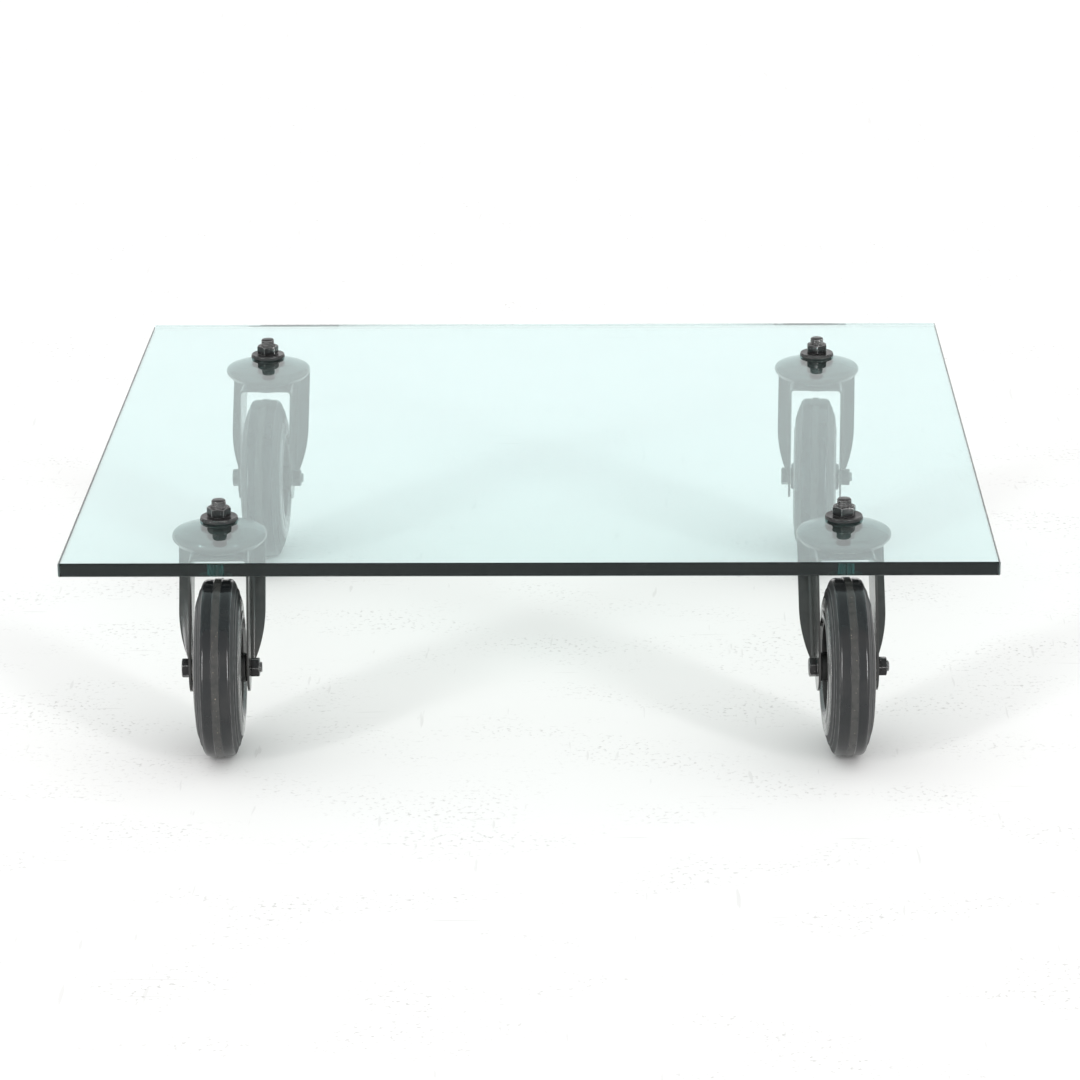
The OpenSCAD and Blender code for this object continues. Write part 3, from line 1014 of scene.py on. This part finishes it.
class Finishes:
    """Every material of the table, built once."""

    def __init__(self) -> None:
        """Builds the shared effects and the materials."""
        effects = Effects()
        self.plans = {
            "glass": GlassFinish("clear_glass", "clear_glass"),
            "blackened": MetalFinish(
                "blackened_steel", "blackened_steel", base=(0.012, 0.012, 0.0122),
                worn=(0.74, 0.735, 0.73), specular=0.35, roughness=0.3, tone_change=0.2,
                wear=1.0, scratch=0.3, dust=0.03, bump=0.1,
            ),
            "enamel": MetalFinish(
                "black_enamel", "black_paint", base=(0.040, 0.041, 0.0395),
                worn=(0.16, 0.155, 0.15), worn_metallic=0.4, specular=0.4, roughness=0.17,
                rough_change=0.02, tone_change=0.15, wear=0.45, wear_radius=0.9 * MM,
                scratch=0.04, dust=0.05, grain=500.0, bump=0.03,
            ),
            "rim": MetalFinish(
                "rim_grey", "rim_steel", base=(0.17, 0.17, 0.169), worn=(0.80, 0.80, 0.79),
                metallic=0.9, roughness=0.24, tone_change=0.12, wear=1.0,
                wear_radius=0.9 * MM, scratch=0.2, dust=0.02,
            ),
            "bright": MetalFinish(
                "bright_steel", "bright_steel", base=(0.58, 0.58, 0.57),
                worn=(0.75, 0.74, 0.72), metallic=1.0, roughness=0.28, tone_change=0.1,
                wear=0.4,
            ),
            "bronze": MetalFinish(
                "bearing_bronze", "bearing_bronze", base=(0.42, 0.29, 0.13),
                worn=(0.6, 0.45, 0.25), metallic=1.0, roughness=0.45, tone_change=0.2,
            ),
            "gasket": RubberFinish("gasket_rubber", "gasket_rubber"),
            "bush": RubberFinish(
                "bush_plastic", "bush_plastic", base=(0.022, 0.022, 0.021),
                bloom=(0.05, 0.05, 0.048), roughness=0.45,
            ),
            "tyre": TyreFinish(
                "tyre_rubber", "tyre_rubber", base=(0.011, 0.0125, 0.0135),
                bloom=(0.017, 0.0175, 0.018), roughness=0.14, rough_change=0.03, ior=1.46,
                bump=0.03,
            ),
            "floor": FloorFinish("pale_floor", "floor"),
        }
        self.made = {key: plan.make(effects) for key, plan in self.plans.items()}

    def dress(self, piece: bpy.types.Object, key: str) -> None:
        """Gives a piece one finish all over, in place of whatever it had."""
        piece.data.materials.clear()
        piece.data.materials.append(self.made[key])

    def dress_node(self, node: str, key: str) -> None:
        """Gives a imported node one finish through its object's own slots.

        Args:
            node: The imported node.
            key: The finish.
        """
        for slot in frame["nodes"][node].material_slots:
            slot.link = "OBJECT"
            slot.material = self.made[key]


@dataclass
class Workshop:
    """Keeps the finishes and hands each finished piece over to the frame."""

    finishes: Finishes
    count: int = 0

    def hand_over(
        self, piece: bpy.types.Object, key: str, body: str, nodes: Iterable[str]
    ) -> None:
        """Dresses a piece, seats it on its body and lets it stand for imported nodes.

        Args:
            piece: The finished piece.
            key: Its finish.
            body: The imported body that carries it.
            nodes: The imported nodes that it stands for.
        """
        self.finishes.dress(piece, key)
        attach(piece, body)
        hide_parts(*nodes)
        self.count += 1
        log.info("%s rides on %s, %d faces", piece.name, body, len(piece.data.polygons))


# Sub-assemblies


@dataclass
class TopFixings:
    """What stands on the glass over each caster: gasket, washer, nut and bolt end."""

    glass_top: float = 250.0
    gasket_radius: float = 21.0
    gasket_height: float = 2.2
    washer_radius: float = 20.5
    washer_height: float = 2.0
    bolt_radius: float = 8.0
    thread_pitch: float = 2.0
    nut_height: float = 10.4
    bolt_top: float = 272.6
    chamfer: float = 1.2
    thread_in_nut: float = 3.0
    thread_cut: float = 10.0
    nut_edge: float = 0.25
    smooth_angle: float = 50.0

    def gasket(self) -> bpy.types.Object:
        """Turns the rubber gasket, with two ribs round its rim.

        Returns:
            The gasket, to be copied.
        """
        r, low, high = self.gasket_radius, self.glass_top, self.glass_top + self.gasket_height
        third = self.gasket_height / 3
        return lathe("gasket_master", rounded([
            (self.bolt_radius + 0.1, low, 0), (r - 0.6, low, 0.3), (r, low + third * 0.6, 0.5),
            (r - 0.7, low + third * 1.5, 0.3), (r - 0.1, high - third * 0.6, 0.5),
            (r - 0.9, high, 0.4), (self.bolt_radius + 0.1, high, 0),
        ]))

    def washer(self) -> bpy.types.Object:
        """Turns the steel washer, its rim rounded and its top slightly dished.

        Returns:
            The washer, to be copied.
        """
        r, low = self.washer_radius, self.glass_top + self.gasket_height
        high = low + self.washer_height
        return lathe("washer_master", rounded([
            (self.bolt_radius + 0.2, low, 0), (r - 0.3, low, 0.3), (r, low + 0.9, 0.6),
            (r - 0.8, high, 0.7), (r - 3.2, high - 0.12, 0.5),
            (self.bolt_radius + 0.2, high, 0),
        ]))

    def bolt_end(self) -> bpy.types.Object:
        """Makes the threaded end of the mounting bolt.

        Returns:
            The bolt's end, to be copied.
        """
        nut_low = self.glass_top + self.gasket_height + self.washer_height
        return threaded_end(
            "bolt_end_master", self.bolt_radius, self.thread_pitch,
            nut_low + self.nut_height - self.thread_in_nut, self.bolt_top, self.chamfer,
        )

    def build(self, shop: Workshop, places: Sequence[CasterPlace]) -> None:
        """Models the fixings at the four corners.

        Args:
            shop: Takes the finished pieces.
            places: The four casters.
        """
        table = Carrier.TABLE.value
        for master, node, key in (
            (self.gasket(), "top_gaskets", "gasket"), (self.washer(), "top_washers", "blackened")
        ):
            smooth(master, self.smooth_angle)
            set_of_four = [placed(master, f"{node}_{i}", p.stem()) for i, p in enumerate(places)]
            shop.hand_over(joined(set_of_four, f"dressed_{node}"), key, table, [node])
            bpy.data.objects.remove(master)
        nuts = from_solid("top_nuts", "dressed_top_nuts", self.nut_edge)
        shop.hand_over(nuts, "blackened", table, ["top_nuts"])
        end = self.bolt_end()
        for place in places:
            node = f"{place.corner.value}_mounting_bolt"
            bolt = from_solid(node, f"dressed_{node}", self.nut_edge)
            cut = place.swivel + Vector((0, 0, (self.bolt_top - self.thread_cut) * MM))
            cut_off(bolt, cut, Vector((0, 0, 1)))
            thread = placed(end, "bolt_end", place.stem())
            bolt = joined([bolt, thread], bolt.name)
            shop.hand_over(bolt, "blackened", table, [node])
        bpy.data.objects.remove(end)


@dataclass
class SwivelHead:
    """The domed cap under the glass, hollow inside, with the race for its balls."""

    cap_low: float = 213.0
    cap_top: float = 234.0
    flat_radius: float = 18.0
    shoulder: Point = (46.0, 221.2)
    shoulder_radius: float = 6.0
    rim_radius: float = 47.0
    wall: float = 3.0
    land_radius: float = 29.0
    race_radius: float = 23.0
    hub_radius: float = 11.8
    hub_low: float = 203.6
    bore: float = 8.1
    dome_steps: int = 24
    shoulder_steps: int = 16
    steps: int = 128
    smooth_angle: float = 30.0

    def dome(self) -> list[Point]:
        """Lays out the arc of the dome and that of the shoulder, which it touches.

        Returns:
            Radius and height of each point, from the flat top to the rim, in mm.
        """
        (cx, cz), r = self.shoulder, self.shoulder_radius
        rise, flat = self.cap_top - cz, self.flat_radius
        k = (flat**2 + rise**2 - cx**2 + r**2) / (2 * r)
        m, n = rise / r, k - r
        root = math.sqrt(m**2 * n**2 - (m**2 - 1) * (n**2 - cx**2))
        drop = (root - m * n) / (m**2 - 1)
        dome, low = m * drop + k, cz - drop
        start, end = math.atan2(rise + drop, flat), math.atan2(drop, cx)
        to_rim = Vector((self.rim_radius - cx, self.cap_low - cz))
        last = math.atan2(to_rim.y, to_rim.x) + math.acos(r / to_rim.length)
        outline: list[Point] = []
        for step in range(self.dome_steps + 1):
            angle = start + (end - start) * step / self.dome_steps
            outline.append((dome * math.cos(angle), low + dome * math.sin(angle)))
        for step in range(1, self.shoulder_steps + 1):
            angle = end + (last - end) * step / self.shoulder_steps
            outline.append((cx + r * math.cos(angle), cz + r * math.sin(angle)))
        return outline

    def cap(self) -> bpy.types.Object:
        """Turns the cap from its section.

        Returns:
            The cap, to be copied.
        """
        low, rim, inner = self.cap_low, self.rim_radius, self.rim_radius - self.wall
        (cx, cz), land, race = self.shoulder, self.land_radius, self.race_radius
        outline = [(self.bore, self.cap_top), *self.dome(), (rim, low + 0.4)]
        outline += rounded([
            (rim - 0.4, low, 0), (inner, low, 0.4), (inner, low + self.wall, 2.0),
            (cx - self.wall, cz, 3.0), (land, self.cap_top - 6, 3.0), (land, low, 0.4),
            (race + 3.3, low, 0.2), (race + 2.0, low + 2.2, 1.0), (race - 2.0, low + 2.2, 1.0),
            (race - 3.3, low, 0.2), (self.hub_radius, low, 0.5),
            (self.hub_radius, self.hub_low, 0.4), (self.bore, self.hub_low, 0),
        ])
        return lathe("cap_master", outline, self.steps)

    def build(self, shop: Workshop, places: Sequence[CasterPlace]) -> None:
        """Turns the cap once and places it at the four corners.

        Args:
            shop: Takes the finished pieces.
            places: The four casters.
        """
        cap = self.cap()
        smooth(cap, self.smooth_angle)
        for place in places:
            node = f"{place.corner.value}_swivel_cap"
            piece = placed(cap, f"dressed_{node}", place.stem())
            shop.hand_over(piece, "enamel", Carrier.TABLE.value, [node])
        bpy.data.objects.remove(cap)


@dataclass
class ForkAndAxle:
    """The pressed fork with its flanged legs, and the bolt and nut of the axle."""

    sheet_edge: float = 0.5
    bolt_edge: float = 0.25
    axle_radius: float = 6.0
    thread_pitch: float = 1.75
    nut_face: float = 43.2
    axle_end: float = 45.8
    chamfer: float = 1.0
    thread_in_nut: float = 4.0
    thread_cut: float = 3.0

    def build(self, shop: Workshop, places: Sequence[CasterPlace]) -> None:
        """Models the forks and their axle bolts and nuts.

        Args:
            shop: Takes the finished pieces.
            places: The four casters.
        """
        end = threaded_end(
            "axle_end_master", self.axle_radius, self.thread_pitch,
            self.nut_face - self.thread_in_nut, self.axle_end, self.chamfer,
        )
        for place in places:
            name, body = place.corner.value, Carrier.CASTER.body(place.corner)
            fork = from_solid(f"{name}_fork", f"dressed_{name}_fork", self.sheet_edge)
            shop.hand_over(fork, "enamel", body, [f"{name}_fork"])
            nut = from_solid(f"{name}_axle_nut", f"dressed_{name}_axle_nut", self.bolt_edge)
            shop.hand_over(nut, "blackened", body, [f"{name}_axle_nut"])
            bolt = from_solid(f"{name}_axle_bolt", f"dressed_{name}_axle_bolt", self.bolt_edge)
            spindle = place.spindle()
            ahead = (spindle.to_3x3() @ Vector((0, 0, 1))).normalized()
            cut = spindle @ Vector((0, 0, (self.nut_face - self.thread_cut) * MM))
            cut_off(bolt, cut, ahead)
            bolt = joined([bolt, placed(end, "axle_end", spindle)], bolt.name)
            shop.hand_over(bolt, "blackened", body, [f"{name}_axle_bolt"])
        bpy.data.objects.remove(end)


@dataclass
class Wheel:
    """Tyre, rim and disc, all turned about the axle. Outlines are radius, offset, corner."""

    steps: int = 160
    disc_steps: int = 96
    tyre_corner_steps: int = 7
    smooth_angle: float = 28.0
    tyre_half: tuple[RoundedPoint, ...] = (
        (57.0, 20.4, 0.0), (75.1, 20.4, 0.0), (75.1, 23.4, 0.3), (76.5, 23.5, 0.5),
        (83.9, 20.7, 0.5), (85.0, 20.9, 0.35), (85.9, 20.5, 0.35), (86.6, 19.7, 0.4),
        (97.0, 15.8, 7.0), (97.0, 4.9, 0.4), (98.0, 3.8, 0.6),
    )
    rim_half: tuple[RoundedPoint, ...] = (
        (56.9, 21.5, 0.0), (75.0, 21.5, 0.0), (75.0, 23.6, 0.5), (73.6, 24.5, 0.8),
        (71.4, 24.7, 0.3), (70.9, 24.3, 0.3), (70.2, 24.8, 0.3), (63.6, 25.2, 0.4),
        (62.8, 24.5, 0.4), (61.8, 25.5, 0.5), (60.8, 26.0, 0.7), (55.5, 26.0, 1.2),
        (52.0, 22.8, 1.2),
    )
    disc_half: tuple[RoundedPoint, ...] = (
        (51.9, 23.0, 0.0), (49.5, 23.0, 0.6), (49.5, 9.5, 2.0), (43.5, 3.5, 3.0),
        (22.0, 3.5, 4.0), (16.0, 9.5, 3.0), (16.0, 28.0, 0.4), (14.6, 29.5, 0.5),
        (14.05, 29.5, 0.0),
    )

    def tyre(self) -> bpy.types.Object:
        """Turns the tyre and marks each point with its place across and out from the axle.

        Returns:
            The tyre, to be copied.
        """
        outline = rounded(both_faces(self.tyre_half), self.tyre_corner_steps)
        piece = lathe("tyre_master", outline, self.steps)
        mark = piece.data.attributes.new("tyre_place", "FLOAT_VECTOR", "POINT")
        for vertex, entry in zip(piece.data.vertices, mark.data):
            x, y, z = vertex.co / MM
            entry.vector = (z, math.hypot(x, y), 0)
        return piece

    def build(self, shop: Workshop, places: Sequence[CasterPlace]) -> None:
        """Turns each piece once and places it on the four axles.

        Args:
            shop: Takes the finished pieces.
            places: The four casters.
        """
        rim, disc = (rounded(both_faces(half)) for half in (self.rim_half, self.disc_half))
        for part, master, key in (
            ("tyre", self.tyre(), "tyre"),
            ("rim", lathe("rim_master", rim, self.steps), "rim"),
            ("wheel_disc", lathe("disc_master", disc, self.disc_steps), "enamel"),
        ):
            smooth(master, self.smooth_angle)
            for place in places:
                node = f"{place.corner.value}_{part}"
                piece = placed(master, f"dressed_{node}", place.spindle())
                shop.hand_over(piece, key, Carrier.WHEEL.body(place.corner), [node])
            bpy.data.objects.remove(master)


@dataclass
class PlainNodes:
    """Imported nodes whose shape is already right, by the end of their name."""

    finishes: dict[str, str] = field(default_factory=lambda: {
        "glass_top": "glass", "glass_bushes": "bush", "swivel_balls": "bright",
        "retaining_ring": "blackened", "race_plate": "blackened", "axle_sleeve": "bright",
        "wheel_bearings": "bronze",
    })

    def dress(self, finishes: Finishes) -> None:
        """Gives each of them its finish.

        Args:
            finishes: The table's finishes.
        """
        for node in frame["nodes"]:
            for ending, key in self.finishes.items():
                if node.endswith(ending):
                    finishes.dress_node(node, key)


@dataclass
class Studio:
    """Pale floor, soft light and the camera. Places are in metres and angles in degrees."""

    eye: Vector = field(default_factory=lambda: Vector((0.1008, -4.8169, 1.6405)))
    pitch: float = 17.546
    yaw: float = -0.90
    roll: float = -0.387
    focal_pixels: float = 4282.4
    picture: float = 1080.0
    centre_x: float = 559.2
    sensor: float = 36.0
    far_end: float = 200.0
    floor_size: float = 80.0
    front: float = 0.95
    back: float = 1.2
    ceiling: float = 0.68
    front_to_back: Point = (0.2, 0.85)
    wall_to_ceiling: Point = (0.5, 0.9)
    fill: float = 1.12
    softbox: float = 25.0
    softbox_azimuth: Point = (37.5, 45.0)
    softbox_elevation: Point = (0.0, 34.0)
    side_fade: float = 0.04
    end_fade: float = 0.03
    in_front: Point = (-0.1, -0.2)
    least_ahead: float = 0.01
    light_map: int = 1024

    def camera(self) -> None:
        """Adds the camera."""
        pitch, yaw, roll = (math.radians(a) for a in (self.pitch, self.yaw, self.roll))
        ahead = Vector((
            math.sin(yaw) * math.cos(pitch), math.cos(yaw) * math.cos(pitch), -math.sin(pitch)
        ))
        level = Vector((math.cos(yaw), -math.sin(yaw), 0))
        upright = level.cross(ahead)
        right = math.cos(roll) * level + math.sin(roll) * upright
        up = -math.sin(roll) * level + math.cos(roll) * upright
        bpy.ops.object.select_all(action="DESELECT")
        bpy.ops.object.camera_add(location=self.eye)
        camera = bpy.context.object
        turned = Matrix((right, up, -ahead)).transposed().to_4x4()
        camera.matrix_world = Matrix.Translation(self.eye) @ turned
        camera.data.sensor_width = self.sensor
        camera.data.lens = self.focal_pixels * self.sensor / self.picture
        camera.data.shift_x = (self.picture / 2 - self.centre_x) / self.picture
        camera.data.clip_end = self.far_end
        bpy.context.scene.camera = camera

    def floor(self, finishes: Finishes) -> None:
        """Adds the floor.

        Args:
            finishes: The table's finishes, with the floor's.
        """
        bpy.ops.object.select_all(action="DESELECT")
        bpy.ops.mesh.primitive_plane_add(size=self.floor_size)
        floor = bpy.context.object
        floor.name = "floor"
        finishes.dress(floor, "floor")

    def surroundings(self) -> None:
        """Wires a white room, brightest behind the table, with two softboxes in front."""
        world = bpy.data.worlds.new("white_room")
        bpy.context.scene.world = world
        world.use_nodes = True
        wiring = Wiring(world.node_tree)
        direction = wiring.node("ShaderNodeTexCoord").outputs["Generated"]
        x, y, z = wiring.split(direction).outputs
        behind = wiring.remap(y, *self.front_to_back, self.front, self.back)
        overhead = wiring.remap(z, *self.wall_to_ceiling, 1.0, self.ceiling)
        rays = wiring.node("ShaderNodeLightPath")
        room = wiring.node("ShaderNodeMix", data_type="FLOAT")
        wiring.feed(room.inputs[0], rays.outputs["Is Diffuse Ray"])
        wiring.feed(room.inputs[2], wiring.times(behind, overhead))
        wiring.feed(room.inputs[3], self.fill)
        ahead = wiring.math("MAXIMUM", wiring.times(y, -1.0), self.least_ahead)
        aside = wiring.math("DIVIDE", wiring.size(x), ahead)
        inner, outer = (math.tan(math.radians(a)) for a in self.softbox_azimuth)
        low, high = (math.sin(math.radians(a)) for a in self.softbox_elevation)
        box = wiring.remap(y, *self.in_front)
        for value, dark, lit in (
            (aside, inner, inner + self.side_fade), (aside, outer, outer - self.side_fade),
            (z, low, low + self.end_fade), (z, high, high - self.end_fade),
        ):
            box = wiring.times(box, wiring.remap(value, dark, lit))
        boxes = wiring.times(box, self.softbox)
        background = world.node_tree.nodes["Background"]
        background.inputs["Color"].default_value = (1, 1, 1, 1)
        wiring.feed(background.inputs["Strength"], wiring.math("ADD", room.outputs[0], boxes))
        world.cycles.sampling_method = "MANUAL"
        world.cycles.sample_map_resolution = self.light_map

    def build(self, finishes: Finishes) -> None:
        """Sets up the studio and how light is followed.

        Args:
            finishes: The table's finishes, with the floor's.
        """
        scene = bpy.context.scene
        scene.view_settings.view_transform = "Standard"
        for setting, value in (
            ("max_bounces", 28), ("transmission_bounces", 28), ("glossy_bounces", 8),
            ("diffuse_bounces", 4), ("transparent_max_bounces", 16),
            ("caustics_reflective", False), ("caustics_refractive", False),
        ):
            setattr(scene.cycles, setting, value)
        self.camera()
        self.floor(finishes)
        self.surroundings()


def main() -> None:
    """Builds the table's looks and the studio."""
    logging.basicConfig(level=logging.INFO, format="%(message)s")
    places = [CasterPlace.read(corner) for corner in Corner]
    finishes = Finishes()
    shop = Workshop(finishes)
    Studio().build(finishes)
    PlainNodes().dress(finishes)
    for assembly in (TopFixings(), SwivelHead(), ForkAndAxle(), Wheel()):
        assembly.build(shop, places)
        log.info("%s done, %d pieces so far", type(assembly).__name__, shop.count)


if __name__ == "__main__":
    main()
